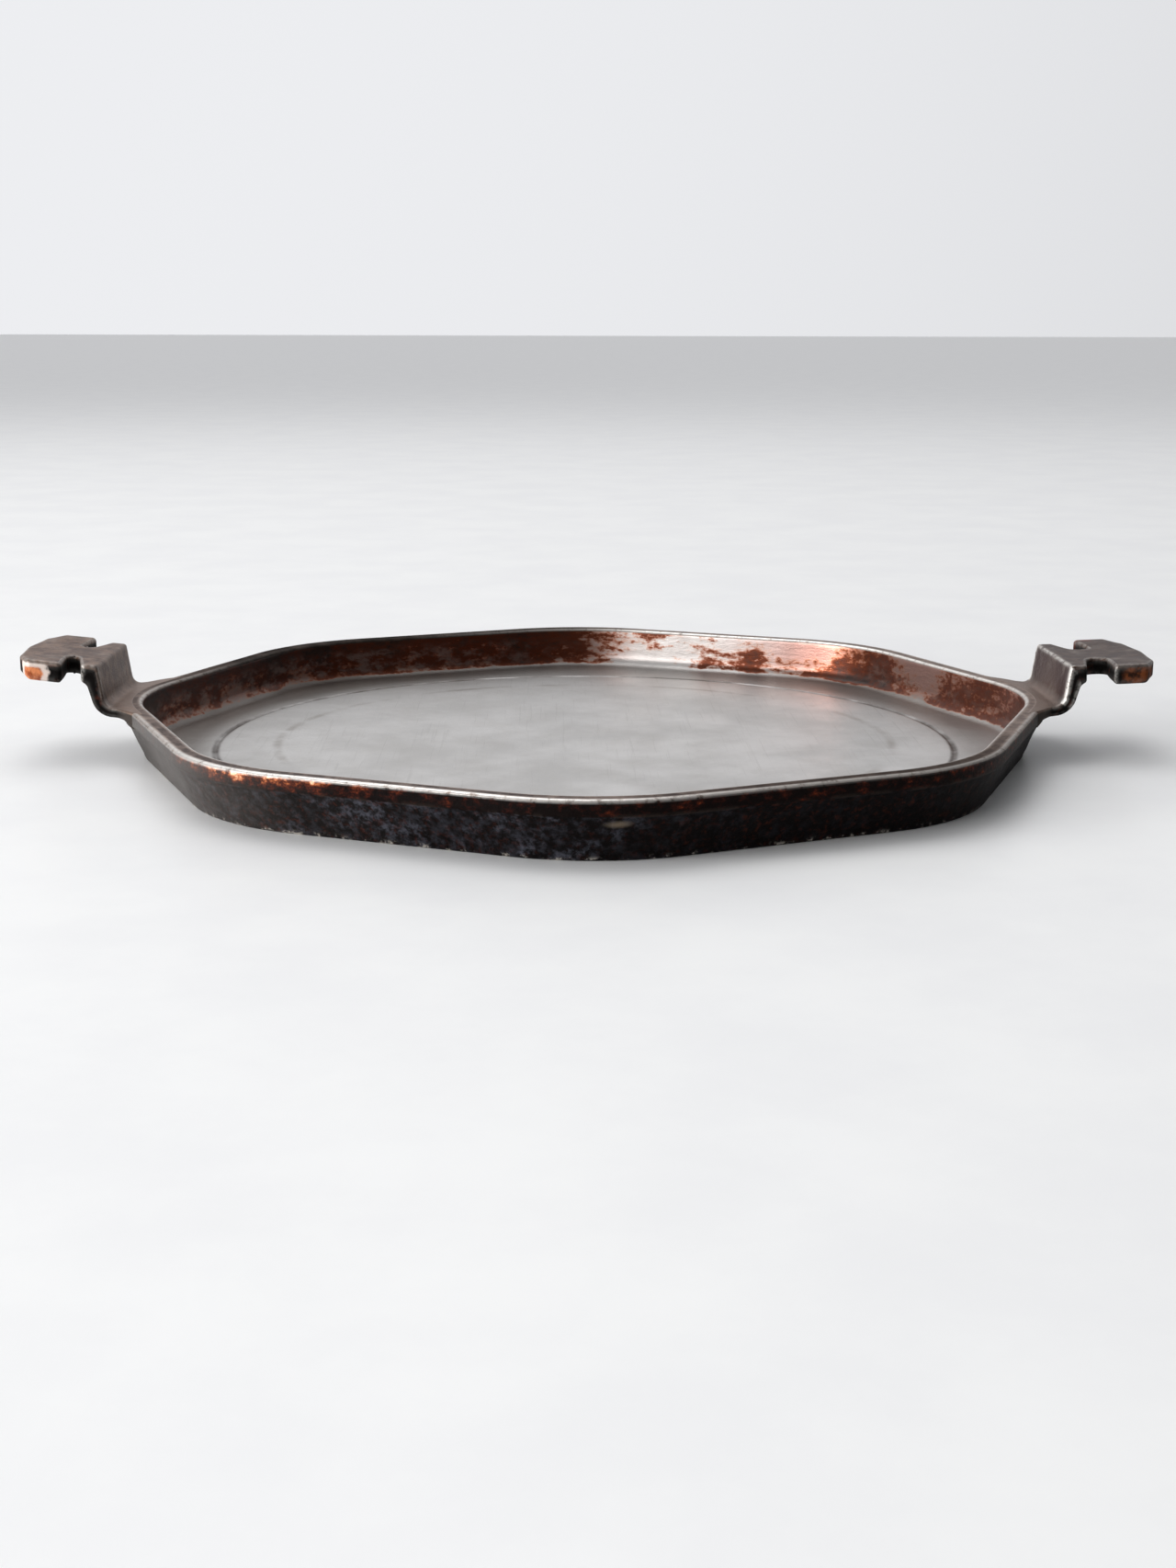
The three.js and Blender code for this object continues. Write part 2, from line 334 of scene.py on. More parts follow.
# %% Sizes of a handle
FOOT_BOTTOM = 15.6
HEAD_HALF = 24.2
NECK_HALF = 9.8
END_HALF = 27.6
PLATE_THICK = 5.7
RISER_THICK = 3.2
RISER_FOOT_X = 162.5
RISER_TOP_X = 164.0
HEAD_END_X = 169.2
NECK_START_X = 173.0
ROOT_X = 146.0
ROOT_INSET = 4.2
FOOT_FREE_X = 157.5
END_LENGTH = 15.5
GRIP_HOOK = 1.8
GRIP_SWELL = 0.45
ROOT_FILLET = 2.4
EDGE = 0.95  # radius of the worn quarter circle at each edge
# Points along a section line: across a face, round an edge and down the side.
ACROSS, QUARTER, DOWN = 11, 7, 4
SIDE_START = ACROSS + QUARTER
SIDE_END = SIDE_START + DOWN
RIGHT_END_X = 179.7
LEFT_END_X = 177.0
HANDLES = [
    # riser: how bright its edges are, from wear and a painted highlight; corner: the upright edge in front,
    # worn and painted bright as a highlight
    {"node": "handle_right", "side": 1, "plate_top": 32.6, "tilt": math.radians(2.2), "end_x": RIGHT_END_X,
     "riser_wear_and_highlight": 1.5, "worn_highlit_corner": (RIGHT_END_X - GRIP_HOOK, END_HALF, 0.7)},
    {"node": "handle_left", "side": -1, "plate_top": 33.0, "tilt": math.radians(6.0), "end_x": LEFT_END_X,
     "riser_wear_and_highlight": 0.25, "worn_highlit_corner": (HEAD_END_X, HEAD_HALF, 1.1)},
]


# %% Side curves of a handle
def side_curves(handle):
    """Top and underside of the bent strip, as tables from a rolled-out place to x and z. On the plate the
    place is x itself. Before it, the place is arc length along the top, and the underside's bends are
    matched to the top's: lower bend to lower bend, riser to riser, and its upper fillet to the head."""
    rise = handle["plate_top"]
    far = handle["end_x"] + END_LENGTH + 2
    far_z = rise + (far - RISER_TOP_X) * math.tan(handle["tilt"])
    top, top_length, top_marks = rounded([
        (ROOT_X, RIM_TOP, 0), (RISER_FOOT_X - 0.6, RIM_TOP, 3.2),
        (RISER_TOP_X, rise, 1.0), (far, far_z, 0)], 0.2)
    under, under_length, under_marks = rounded([
        (ROOT_X, FOOT_BOTTOM, 0), (RISER_FOOT_X + RISER_THICK - 0.8, FOOT_BOTTOM, 7.0),
        (RISER_TOP_X + RISER_THICK + 0.8, rise - PLATE_THICK, 3.0), (far, far_z - PLATE_THICK, 0)], 0.2)
    plate_x = np.interp(under_marks[1][1], under_length, under[:, 0])
    before_plate = top_length[-1] - (far - plate_x) / math.cos(handle["tilt"])
    stretch = np.where(top_length > before_plate, math.cos(handle["tilt"]), 1)
    top_place = plate_x + stretch * (top_length - before_plate)
    matched = [top_place[0], *(top_place[0] + np.ravel(top_marks))[:3], plate_x, far]
    under_place = np.interp(under_length, [0, *np.ravel(under_marks), under_length[-1]], matched)
    bends = top_place[0] + np.mean(top_marks, 1)
    return (top_place, top), (under_place, under), bends


# %% Flat outline of a handle
def flat_outline(handle, root):
    """The closed flat outline, from the middle of the root round the grip and back, and for each of its
    points the place on the middle line that it is joined to. Those places only ever move on along the
    handle, and none crosses a notch, so the lines between them and the outline sweep the flat shape
    once."""
    end = handle["end_x"]
    half = [
        # place, half width, corner radius, place on the middle line
        (root, 39.0, 1.5, root + 6.0),
        (root + 157 - ROOT_X, 26.4, 9.0, root + 157 - ROOT_X),
        (root + 161 - ROOT_X, HEAD_HALF, 5.0, root + 161 - ROOT_X),
        (HEAD_END_X, HEAD_HALF, 1.6, HEAD_END_X + 0.2),
        (NECK_START_X, NECK_HALF, 3.5, NECK_START_X),
        (end, NECK_HALF, 2.6, end + 0.4),
        (end - GRIP_HOOK, END_HALF, 1.1, end + 4.0),
        (end + 9.4, END_HALF, 2.0, end + 8.0),
        (end + 14.0, 18.5, 6.0, end + 11.5),
    ]
    tip = [(end + END_LENGTH, 0, 20.0, end + END_LENGTH - 1.2)]
    mirrored = [(place, -width, radius, middle) for place, width, radius, middle in reversed(half)]
    loop = half + tip + mirrored
    corners = [(root, 0, 0)] + [corner[:3] for corner in loop] + [(root, 0, 0)]
    edge, length, marks = rounded(corners, 0.55)
    known = np.concatenate([[0], np.mean(marks, 1), length[-1:]])
    middles = [root + 0.6] + [corner[3] for corner in loop] + [root + 0.6]
    return edge[:-1], np.interp(length[:-1], known, middles)


# %% [markdown]
# ## From flat outline to bent casting
#
# Each outline point now carries a whole section line: across the top to the edge, round a worn quarter
# circle, down the side, round another and back under to the middle. Where the foot meets the pan, the top
# dips just under the rim's land and the underside drops in a fillet, both as functions of the distance to
# the rim. That is what makes the joint read as one casting.

# %% The handle's surface
def beyond_rim(x, y):
    """Distance outside the rim's outer edge near a handle: from the corner's arc, or from the straight
    sides."""
    from_centre = np.hypot(x - CORNER_CENTRE, y)
    on_arc = np.abs(np.arctan2(y, x - CORNER_CENTRE)) < HALF_EIGHTH
    on_side = (x - CORNER_CENTRE) * math.cos(HALF_EIGHTH) + np.abs(y) * math.sin(HALF_EIGHTH)
    return np.where(on_arc, from_centre, on_side) - CORNER_RADIUS


def handle_surface(handle):
    """Points on a grid, outline by section, with the edge wear and its painted highlight, the share of
    underside and the nearness of the root."""
    (top_place, top), (under_place, under), bends = side_curves(handle)
    edge, middle = flat_outline(handle, top_place[0])
    along = np.roll(edge, -1, 0) - np.roll(edge, 1, 0)
    inward = np.stack([-along[:, 1], along[:, 0]], 1) / np.linalg.norm(along, axis=1, keepdims=True)
    inward *= np.sign(np.sum(inward * (np.stack([middle, 0 * middle], 1) - edge), 1).mean())

    quarter = np.linspace(0, math.pi / 2, QUARTER)
    across = 1 - (1 - np.linspace(0, 1, ACROSS + 1)[:-1]) ** 2
    spread = np.concatenate([across, np.ones(2 * QUARTER + DOWN), across[::-1]])
    flat_in, flat_level = 1 + 0 * across, 0 * across
    pull = EDGE * np.concatenate(
        [flat_in, 1 - np.sin(quarter), np.zeros(DOWN), 1 - np.cos(quarter), flat_in])
    depth = EDGE * np.concatenate(
        [flat_level, 1 - np.cos(quarter), np.ones(DOWN), 1 - np.cos(quarter[::-1]), flat_level])

    rim = edge[:, None] + inward[:, None] * pull[None, :, None]
    centre = np.stack([middle, 0 * middle], 1)[:, None]
    flat = centre + (rim - centre) * spread[None, :, None]
    place, y = flat[..., 0], flat[..., 1]
    upper = [np.interp(place, top_place, top[:, axis]) for axis in (0, 1)]
    lower = [np.interp(place, under_place, under[:, axis]) for axis in (0, 1)]
    thick = np.hypot(upper[0] - lower[0], upper[1] - lower[1])
    bottom_half = np.arange(len(spread)) >= SIDE_END
    round_off = depth / thick
    share = np.where(bottom_half, 1 - round_off, round_off)
    side_thick = thick[:, SIDE_START:SIDE_END]
    down_side = np.array([0.2, 0.4, 0.6, 0.8])
    share[:, SIDE_START:SIDE_END] = down_side * (1 - 2 * EDGE / side_thick) + EDGE / side_thick
    x = upper[0] + (lower[0] - upper[0]) * share
    z = upper[1] + (lower[1] - upper[1]) * share

    inner_radius = CORNER_RADIUS - ROOT_INSET
    on_arc = CORNER_CENTRE + np.sqrt(np.maximum(inner_radius ** 2 - y ** 2, 0))
    on_side = CORNER_CENTRE + (inner_radius - np.abs(y) * math.sin(HALF_EIGHTH)) / math.cos(HALF_EIGHTH)
    root_x = np.maximum(np.where(np.abs(y) < inner_radius * math.sin(HALF_EIGHTH), on_arc, on_side), ROOT_X)
    x = np.where(x < FOOT_FREE_X, root_x + (x - ROOT_X) * (FOOT_FREE_X - root_x) / (FOOT_FREE_X - ROOT_X), x)
    end = handle["end_x"]
    arms = smooth(np.abs(y), 10, 20) * smooth(x, end - 3, end) * (1 - smooth(x, end + 8, end + 13))
    z += GRIP_SWELL * arms * (1 - 2 * share)
    outside = beyond_rim(x, y)
    z -= (1 - share) * (0.02 + 0.7 * smooth(-outside, 2.6, 3.9))
    reach = np.clip(ROOT_FILLET - outside, 0, ROOT_FILLET)
    z -= share * (ROOT_FILLET - np.sqrt(ROOT_FILLET ** 2 - reach ** 2 + 1e-9))
    points = np.stack([x, y, z], -1)
    to_edge = (1 - spread) * np.linalg.norm(rim - centre, axis=2)
    # Edge wear, which the finish also paints as a highlight: brightest on the right-hand riser and on one
    # upright corner of each grip.
    worn_and_highlit = np.exp(-to_edge / 0.7) * np.where(bottom_half, 0.25, 1.0)
    worn_and_highlit[:, SIDE_START - 3:SIDE_END] *= np.array([0.9, 0.6, 0.35, 0.12, 0.0, 0.0, 0.05])
    worn_and_highlit = np.maximum(worn_and_highlit, 0.45 * np.exp(-((place - bends[1]) / 0.7) ** 2) * (share < 0.1))
    riser = (place > bends[0] + 0.3) & (place < bends[1] + 1.5)
    worn_and_highlit = worn_and_highlit * np.where(riser, handle["riser_wear_and_highlight"], 0.22) * smooth(outside, 0.5, 4.0)
    corner_x, corner_y, width = handle["worn_highlit_corner"]
    from_corner = np.hypot(place - corner_x, y + handle["side"] * corner_y)
    upright = (np.arange(len(spread)) >= ACROSS + 2) & (np.arange(len(spread)) < SIDE_END + QUARTER - 1)
    worn_and_highlit = np.maximum(worn_and_highlit, np.exp(-(from_corner / width) ** 2) * upright)
    return points, worn_and_highlit, share, 1 - smooth(outside, 0.0, 6.0)


# %% The two handles
def make_handle(handle):
    """One handle, its right-hand shape turned half round for the left, as a closed mesh. Outline point i
    mirrors point count - i, so both use one point number where their section lines meet on the middle
    line."""
    points, worn_and_highlit, share, root = handle_surface(handle)
    waves = np.stack([casting_waves(points.reshape(-1, 3) + shift, 17.0) for shift in (0.0, 40.0, 90.0)], 1)
    free = smooth(beyond_rim(points[..., 0], points[..., 1]), 0, 4)
    points = points + 0.07 * (waves.reshape(points.shape) - 1) * free[..., None] * [1, 0, 1]
    points[..., :2] *= handle["side"]
    around, count = points.shape[:2]
    here, row = np.meshgrid(np.arange(around), np.arange(count), indexing="ij")
    mirrored = np.minimum(here, (around - here) % around)
    number = np.where((row == 0) | (row == count - 1), mirrored, here) * count + row
    ahead = np.roll(number, -1, 0)
    faces = np.stack([number[:, :-1], number[:, 1:], ahead[:, 1:], ahead[:, :-1]], -1).reshape(-1, 4)
    used, faces = np.unique(faces, return_inverse=True)
    faces = faces.reshape(-1, 4).tolist()
    made = write_mesh("griddle_" + handle["node"], points.reshape(-1, 3)[used], faces,
                      {"wear_and_highlight": worn_and_highlit.ravel()[used], "under": share.ravel()[used], "root": root.ravel()[used]})
    weld = bmesh.new()
    weld.from_mesh(made.data)
    bmesh.ops.recalc_face_normals(weld, faces=weld.faces)
    open_edges = sum(1 for e in weld.edges if len(e.link_faces) != 2)
    weld.to_mesh(made.data)
    weld.free()
    print(f"{made.name}: {len(made.data.vertices)} points, {open_edges} open edges")
    return made


handles = [make_handle(handle) for handle in HANDLES]

# %% [markdown]
# ## Building finishes
#
# Finishes are node trees that read Object coordinates, turned to millimetres so that every pattern has a
# real size. One small function adds a node, sets it and links it, and colours are sRGB hex values made
# linear by one formula.

# %% Node helper
KIND_SETTING = {"Math": "operation", "VectorMath": "operation", "MapRange": "interpolation_type",
                "Mix": "data_type"}


def linear(hex_colour):
    """An sRGB hex colour as linear red, green, blue and alpha."""
    parts = np.array([int(hex_colour[i:i + 2], 16) / 255 for i in (1, 3, 5)])
    curve = np.where(parts <= 0.04045, parts / 12.92, ((parts + 0.055) / 1.055) ** 2.4)
    return (*curve.tolist(), 1.0)


def add_node(tree, kind, *values, out=0, stops=(), **settings):
    """Adds a node and gives one output in use. A word after a dot in kind is its operation, data type or
    interpolation. values fill the inputs in use in order; a setting with a capital letter fills the input
    of that name, and one without sets a property. Sockets are linked and hex colours made linear. stops
    give a colour ramp its positions and colours."""
    kind, _, choice = kind.partition(".")
    made = tree.nodes.new("ShaderNode" + kind)
    if choice:
        setattr(made, KIND_SETTING[kind], choice)
    for key, value in settings.items():
        if key[0].islower():
            setattr(made, key, value)
    if stops:
        while len(made.color_ramp.elements) < len(stops):
            made.color_ramp.elements.new(1.0)
        for element, (position, colour) in zip(made.color_ramp.elements, stops):
            element.position = position
            element.color = linear(colour) if isinstance(colour, str) else (*colour, 1.0)
    inputs = [socket for socket in made.inputs if socket.enabled]
    filled = list(zip(inputs, values))
    filled += [(made.inputs[key.replace("_", " ")], value)
               for key, value in settings.items() if key[0].isupper()]
    for socket, value in filled:
        if isinstance(value, bpy.types.NodeSocket):
            tree.links.new(value, socket)
        elif value is not None:
            socket.default_value = linear(value) if isinstance(value, str) else value
    outputs = [socket for socket in made.outputs if socket.enabled]
    return made.outputs[out] if isinstance(out, str) else outputs[out] if outputs else None


# %% Starting and closing a finish
def new_finish(name):
    """A node material, a function that adds nodes to it, its coordinates in millimetres and their
    parts."""
    material = bpy.data.materials.new(name)
    material.use_nodes = True
    material.node_tree.nodes.clear()
    add = partial(add_node, material.node_tree)
    place = add("VectorMath.SCALE", add("TexCoord", out="Object"), 1 / MM)
    return material, add, place, [add("SeparateXYZ", place, out=part) for part in "XYZ"]


def patches(add, place, size, low, high, detail=5.0, grain=0.6, squeeze=1.0):
    """Soft-edged patches from 0 to 1, about size mm across: noise between two levels. squeeze flattens
    them in height, which makes streaks on a wall."""
    if squeeze != 1.0:
        place = add("Mapping", place, Scale=(1.0, 1.0, squeeze))
    cloud = add("TexNoise", place, Scale=1 / size, Detail=detail, Roughness=grain)
    return add("MapRange.SMOOTHSTEP", cloud, low, high)


def spot(add, place, centre, inner, outer):
    """1 within inner mm of a point, 0 beyond outer, with a ragged edge from noise."""
    away = add("VectorMath.DISTANCE", place, centre)
    ragged = add("TexNoise", place, Scale=1 / 4.0, Detail=5.0)
    away = add("Math.MULTIPLY_ADD", ragged, outer - 0.5, add("Math.SUBTRACT", away, (outer - 0.5) / 2))
    return add("MapRange.SMOOTHSTEP", away, outer, inner)


def close_finish(add, colour, metal, rough, bumps, specular=0.5):
    """Joins colour, metallic, roughness and (height, mm) bumps to a Principled shader."""
    normal = None
    for height, depth in bumps:
        normal = add("Bump", Strength=1.0, Distance=depth * MM, Height=height, Normal=normal)
    shader = add("BsdfPrincipled", Base_Color=colour, Metallic=metal, Roughness=rough, Normal=normal,
                 Specular_IOR_Level=specular)
    add("OutputMaterial", shader)


# %% [markdown]
# ## Where things happened round the pan
#
# Wear and varnish are not even. The pan stood with the same sides to the flame and the hand, and the
# painted highlights and reflections follow the light, which falls from the front-left, so each finish asks
# a colour ramp over the angle for three amounts at once, one in each channel. Angles run from minus to plus
# 180 degrees, with the right-hand handle at 0 and the back at 90.

# %% Amounts by angle
def by_angle(add, x, y, rows):
    """Three amounts between 0 and 1 that change with the angle round the pan, from (degrees, a, b, c)
    rows."""
    angle = add("MapRange.LINEAR", add("Math.ARCTAN2", y, x), -math.pi, math.pi)
    ramp = add("ValToRGB", angle, stops=[(row[0] / 360 + 0.5, row[1:]) for row in rows])
    return [add("SeparateColor", ramp, out=channel) for channel in ("Red", "Green", "Blue")]


# %% [markdown]
# ## Satin aluminium, the cooking face
#
# Common name: cast aluminium, ground flat and then worn by spatulas and scouring. That gives the eye a
# soft grey metal with cloudy stains, faint crossing scratches and a dark ring of grime in the groove.
# Between the groove and the wall the floor is painted darker, a painted reflection of the dark wall.

# %% Floor of the pan
inside, add, place, (x, y, z) = new_finish("satin_cast_aluminium_with_baked_oil")
cover, lean, wall_reflection_amount = by_angle(add, x, y, [
    # degrees: how much varnish, whether it sits high (1) or low (0), how dark the painted reflection of the
    # wall is on the floor's outer zone
    (-180, 0.72, 0.75, 0.9), (-90, 0.5, 0.5, 0.6), (0, 0.62, 0.3, 0.5), (14, 0.60, 0.3, 0.8),
    (26, 0.24, 0.05, 0.9), (36, 0.60, 0.05, 0.9), (42, 0.78, 0.1, 0.9), (46, 0.55, 0.1, 0.8),
    (50, 0.28, 0.0, 0.7), (55, 0.36, 0.05, 0.5), (60, 0.53, 0.1, 0.4), (64, 0.36, 0.3, 0.3),
    (69, 0.38, 0.5, 0.3), (76, 0.34, 0.7, 0.3), (82, 0.29, 0.7, 0.35), (88, 0.55, 0.6, 0.5),
    (96, 0.72, 0.6, 0.6), (112, 0.57, 0.8, 0.8), (124, 0.64, 0.85, 0.9), (135, 0.68, 0.9, 1.0),
    (150, 0.61, 0.95, 1.0), (168, 0.60, 0.9, 1.0), (180, 0.72, 0.75, 0.9)])
from_middle = add("VectorMath.LENGTH", add("CombineXYZ", x, y, 0.0))
clouds = patches(add, place, 42.0, 0.34, 0.68)
metal = add("Mix.RGBA", clouds, "#adaba9", "#c4c2c0")
smudges = patches(add, place, 15.0, 0.42, 0.72, detail=4.0, grain=0.6)
metal = add("Mix.RGBA", add("Math.MULTIPLY", smudges, 0.25), metal, "#a29e99")
# The floor's outer zone next to the wall is painted darker: a painted reflection of the dark varnished wall.
wall_reflection = add("MapRange.SMOOTHSTEP", from_middle, GROOVE_RADIUS - 4, GROOVE_RADIUS + 10)
wall_reflection = add("Math.MULTIPLY", add("Math.MULTIPLY", wall_reflection, wall_reflection_amount), 0.8)
metal = add("Mix.RGBA", wall_reflection, metal, "#5f564f")

# Knife and spatula scratches: thin slices of stretched noise, in four directions.
scratches = None
for turn, width in ((0.35, 0.9), (1.05, 1.2), (1.75, 1.0), (2.6, 0.8)):
    turned = add("Mapping", place, Rotation=(0, 0, turn), Scale=(1.0, 0.02, 1.0))
    fine_line = add("TexNoise", turned, Scale=1 / width, Detail=3.0)
    fine_line = add("MapRange.SMOOTHSTEP", fine_line, 0.64, 0.72)
    scratches = fine_line if scratches is None else add("Math.MAXIMUM", scratches, fine_line)
metal = add("Mix.RGBA", add("Math.MULTIPLY", scratches, 0.13), metal, "#77736f")


# %% Rings on the floor
def ring_of(radius, inner, outer, low, high):
    """A patchy ring of grime: 1 on the circle of the radius, gone between inner and outer mm from it."""
    away = add("Math.ABSOLUTE", add("Math.SUBTRACT", from_middle, radius))
    near = add("MapRange.SMOOTHSTEP", away, outer, inner)
    return add("Math.MULTIPLY", near, patches(add, place, 30.0, low, high))


groove_grime = add("Math.MULTIPLY", ring_of(GROOVE_RADIUS, 0.5, 1.9, 0.3, 0.62), 0.95)
metal = add("Mix.RGBA", groove_grime, metal, "#3d332c")
inner_ring = add("Math.MULTIPLY", ring_of(107.0, 0.3, 2.4, 0.42, 0.62), 0.4)
metal = add("Mix.RGBA", inner_ring, metal, "#6f6459")

# %% [markdown]
# ## Baked oil on the inner wall
#
# On the inner wall the metal is under varnish: oil baked on in layers, amber where thin, red-brown, then
# nearly black. One number, the thickness, makes all of it: an amount by angle, a lean up or down the wall
# and three sizes of noise. Thin varnish stays metallic, so a lamp turns copper in it, and thick varnish
# hides the metal.

# %% Varnish
film, scuffs, _ = by_angle(add, x, y, [
    # degrees: thin copper-brown film over the whole wall, grey scuffs through thick varnish
    (-180, 0.5, 0.5, 0), (-90, 0.4, 0.3, 0), (0, 0.65, 0.25, 0), (12, 0.75, 0.2, 0), (24, 0.5, 0.5, 0),
    (38, 0.35, 0.3, 0), (44, 0.9, 0.0, 0), (53, 0.75, 0.0, 0), (60, 0.35, 0.0, 0), (68, 0.1, 0.0, 0),
    (80, 0.08, 0.0, 0), (88, 0.5, 0.1, 0), (95, 0.8, 0.15, 0), (106, 0.6, 0.75, 0), (140, 0.5, 0.9, 0),
    (165, 0.5, 0.95, 0), (180, 0.5, 0.5, 0)])
on_wall = add("MapRange.SMOOTHSTEP", z, COVE_FOOT_Z + 0.8, COVE_FOOT_Z + 4.0)
wall_film = add("Math.MULTIPLY", add("Math.MULTIPLY", on_wall, film), 0.85)
metal = add("Mix.RGBA", wall_film, metal, "#ab7060")
up_wall = add("MapRange.LINEAR", z, COVE_FOOT_Z, RIM_TOP, -0.5, 0.5)
leaning = add("Math.MULTIPLY", up_wall, add("MapRange.LINEAR", lean, 0.0, 1.0, -0.55, 0.55))
on_floor = add("MapRange.SMOOTHSTEP", z, 5.2, COVE_FOOT_Z - 0.6, 0.0, 1.15)
big = add("TexNoise", place, Scale=1 / 19.0, Detail=4.0, Roughness=0.55)
flattened = add("Mapping", place, Scale=(1.0, 1.0, 3.2))
streak = add("TexNoise", flattened, Scale=1 / 9.0, Detail=7.0, Roughness=0.66)
flattened = add("Mapping", place, Scale=(1.0, 1.0, 1.6))
speckle = add("TexNoise", flattened, Scale=1 / 2.6, Detail=4.0, Roughness=0.6)
thickness = add("Math.ADD", cover, leaning)
thickness = add("Math.SUBTRACT", thickness, on_floor)
for cloud, amount in ((big, 1.0), (streak, 0.9), (speckle, 0.6)):
    thickness = add("Math.MULTIPLY_ADD", cloud, amount, add("Math.SUBTRACT", thickness, amount / 2))
tint = add("ValToRGB", thickness, stops=[
    (0.34, "#a87a5c"), (0.44, "#84492c"), (0.53, "#5c2c1a"), (0.70, "#4a2314"), (0.92, "#24130b")])
inside_colour = add("Mix.RGBA", add("MapRange.SMOOTHSTEP", thickness, 0.27, 0.54), metal, tint)
elsewhere = add("VectorMath.ADD", place, (13.0, 71.0, 3.0))
rubbed = patches(add, elsewhere, 6.5, 0.44, 0.66, 7.0, 0.65, squeeze=1.8)
on_wall_low = add("Math.MULTIPLY", on_wall, add("MapRange.SMOOTHSTEP", z, 17.0, 11.0))
rubbed = add("Math.MULTIPLY", add("Math.MULTIPLY", rubbed, scuffs), on_wall_low)
inside_colour = add("Mix.RGBA", add("Math.MULTIPLY", rubbed, 0.85), inside_colour, "#85746d")
inside_metal = add("Math.MAXIMUM", add("MapRange.LINEAR", thickness, 0.44, 0.85, 1.0, 0.3), rubbed)
floor_rough = add("MapRange.LINEAR", clouds, 0.0, 1.0, 0.46, 0.38)
thin_rough = add("Mix.FLOAT", wall_film, floor_rough, 0.26)
inside_rough = add("MapRange.LINEAR", thickness, 0.4, 0.6, thin_rough, 0.33)
turned_marks = add("TexNoise", add("CombineXYZ", from_middle, 0.0, 0.0), Scale=1 / 0.9, Detail=3.0)
close_finish(add, inside_colour, inside_metal, inside_rough, [
    (turned_marks, 0.012), (scratches, -0.015), (streak, 0.2), (smudges, 0.05)], 0.35)

# %% [markdown]
# ## The rim
#
# The rim's land is the same casting, rubbed by hands and lids: taupe grey, a brown film in its slightly
# hollow middle, and both edges worn to bright metal where the pan is handled most, and painted brighter
# still as a highlight where the light catches them.

# %% Rim finish
rim, add, place, (x, y, z) = new_finish("rubbed_cast_aluminium")
film_amount, wear_and_highlight_amount, soot_amount = by_angle(add, x, y, [
    # degrees: brown film, worn bright edges with a painted highlight, soot over everything
    (-180, 0.55, 0.5, 0.1), (-150, 0.8, 0.55, 0.1), (-135, 1.0, 1.0, 0.05), (-105, 1.0, 1.0, 0.0),
    (-88, 0.8, 0.8, 0.15), (-70, 0.8, 0.5, 0.6), (-45, 0.8, 0.35, 0.8), (-24, 0.3, 0.4, 0.1),
    (0, 0.05, 0.6, 0.0), (30, 0.3, 0.9, 0.1), (60, 0.3, 1.0, 0.0), (78, 0.3, 0.9, 0.1),
    (90, 0.6, 0.25, 0.8), (120, 0.6, 0.0, 1.0), (152, 0.6, 0.05, 0.95), (172, 0.5, 0.4, 0.35),
    (180, 0.55, 0.5, 0.1)])
inset = add("Attribute", attribute_name="inset", out="Fac")
wear_and_highlight = add("Attribute", attribute_name="wear_and_highlight", out="Fac")
hollow = add("Math.MULTIPLY", add("MapRange.SMOOTHSTEP", inset, 1.7, 2.5),
             add("MapRange.SMOOTHSTEP", inset, 5.0, 4.2))
streaks = patches(add, place, 7.0, 0.62, 0.36, detail=8.0, grain=0.7)
film = add("Math.MULTIPLY", add("Math.MULTIPLY", hollow, film_amount),
           add("MapRange.LINEAR", streaks, 0.0, 1.0, 0.35, 1.3))
rim_colour = add("Mix.RGBA", patches(add, place, 4.5, 0.38, 0.66, detail=7.0), "#6b5a51", "#927f74")
rim_colour = add("Mix.RGBA", film, rim_colour, "#2e1a13")
soot_clouds = patches(add, place, 9.0, 0.3, 0.55)
soot = add("Math.MULTIPLY", soot_amount, add("MapRange.LINEAR", soot_clouds, 0.0, 1.0, 0.75, 1.0))
rim_colour = add("Mix.RGBA", soot, rim_colour, "#1d1510")
# The outer half of the land and the worn edges are painted near white: partly bare metal, partly a painted
# highlight.
outer_half = add("Math.MULTIPLY", add("MapRange.SMOOTHSTEP", inset, 2.1, 1.2), 0.7)
outer_half = add("Math.MULTIPLY", outer_half, add("Math.SUBTRACT", 1.0, soot_amount))
worn_and_highlit = add("Math.MULTIPLY", add("Math.MAXIMUM", wear_and_highlight, outer_half), wear_and_highlight_amount)
worn_and_highlit = add("Math.MULTIPLY", worn_and_highlit, patches(add, place, 2.2, 0.26, 0.52, detail=7.0, grain=0.7))
rim_colour = add("Mix.RGBA", worn_and_highlit, rim_colour, "#e0ddd8")
close_finish(add, rim_colour, add("MapRange.LINEAR", soot, 0.0, 0.8, 0.9, 0.0),
             add("MapRange.LINEAR", worn_and_highlit, 0.0, 1.0, add("MapRange.LINEAR", soot, 0.0, 1.0, 0.5, 0.95), 0.3),
             [(patches(add, place, 1.6, 0.3, 0.7, detail=6.0), 0.06)], 0.1)

# %% [markdown]
# ## The blackened outside
#
# Outside, flame and fat have baked into a hard, matt black crust over the hammer marks, with grey and
# rust specks in it; the grey specks are partly painted highlights on the hammer marks, brightest where the
# light falls from the front-left. Towards one side it has worn to bare metal, and on the proud band under
# the rim it has flaked to red-brown and copper tones.

